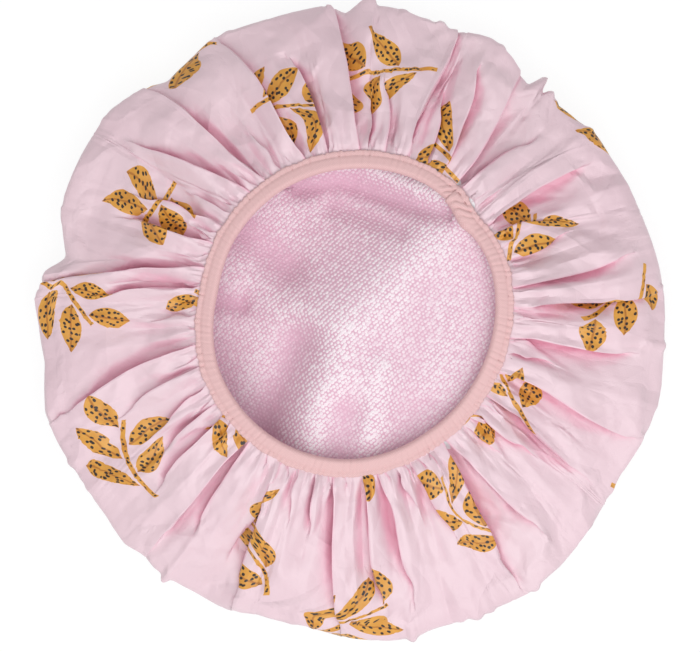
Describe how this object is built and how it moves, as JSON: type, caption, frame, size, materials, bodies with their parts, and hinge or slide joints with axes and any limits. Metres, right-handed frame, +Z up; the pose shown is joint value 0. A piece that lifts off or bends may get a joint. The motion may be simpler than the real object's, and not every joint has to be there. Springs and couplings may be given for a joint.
{
  "type": "shower cap",
  "caption": "Soft lined shower cap lying on its crown, mouth up: a printed shell gathered into a bound elastic edge, with a waterproof layer and a terry lining.",
  "frame": {"origin": "middle of the cap's outline, on the surface that the crown lies on", "axes": "+Z up out of the mouth, +X to the picture's right, +Y to the picture's top"},
  "size_m": [0.3006, 0.3012, 0.0462],
  "materials": {
    "printed_shell_cloth": "satin",
    "clear_white_film": "satin",
    "terry_cloth": "matte",
    "bias_tape": "matte",
    "woven_elastic": "matte",
    "sewing_thread": "satin"
  },
  "bodies": {
    "root": {"outer_shell": "printed_shell_cloth", "waterproof_film": "clear_white_film", "terry_lining": "terry_cloth", "edge_binding": "bias_tape", "elastic_band": "woven_elastic", "elastic_tack": "sewing_thread", "needle_thread": "sewing_thread", "bobbin_thread": "sewing_thread"}
  },
  "joints": []
}
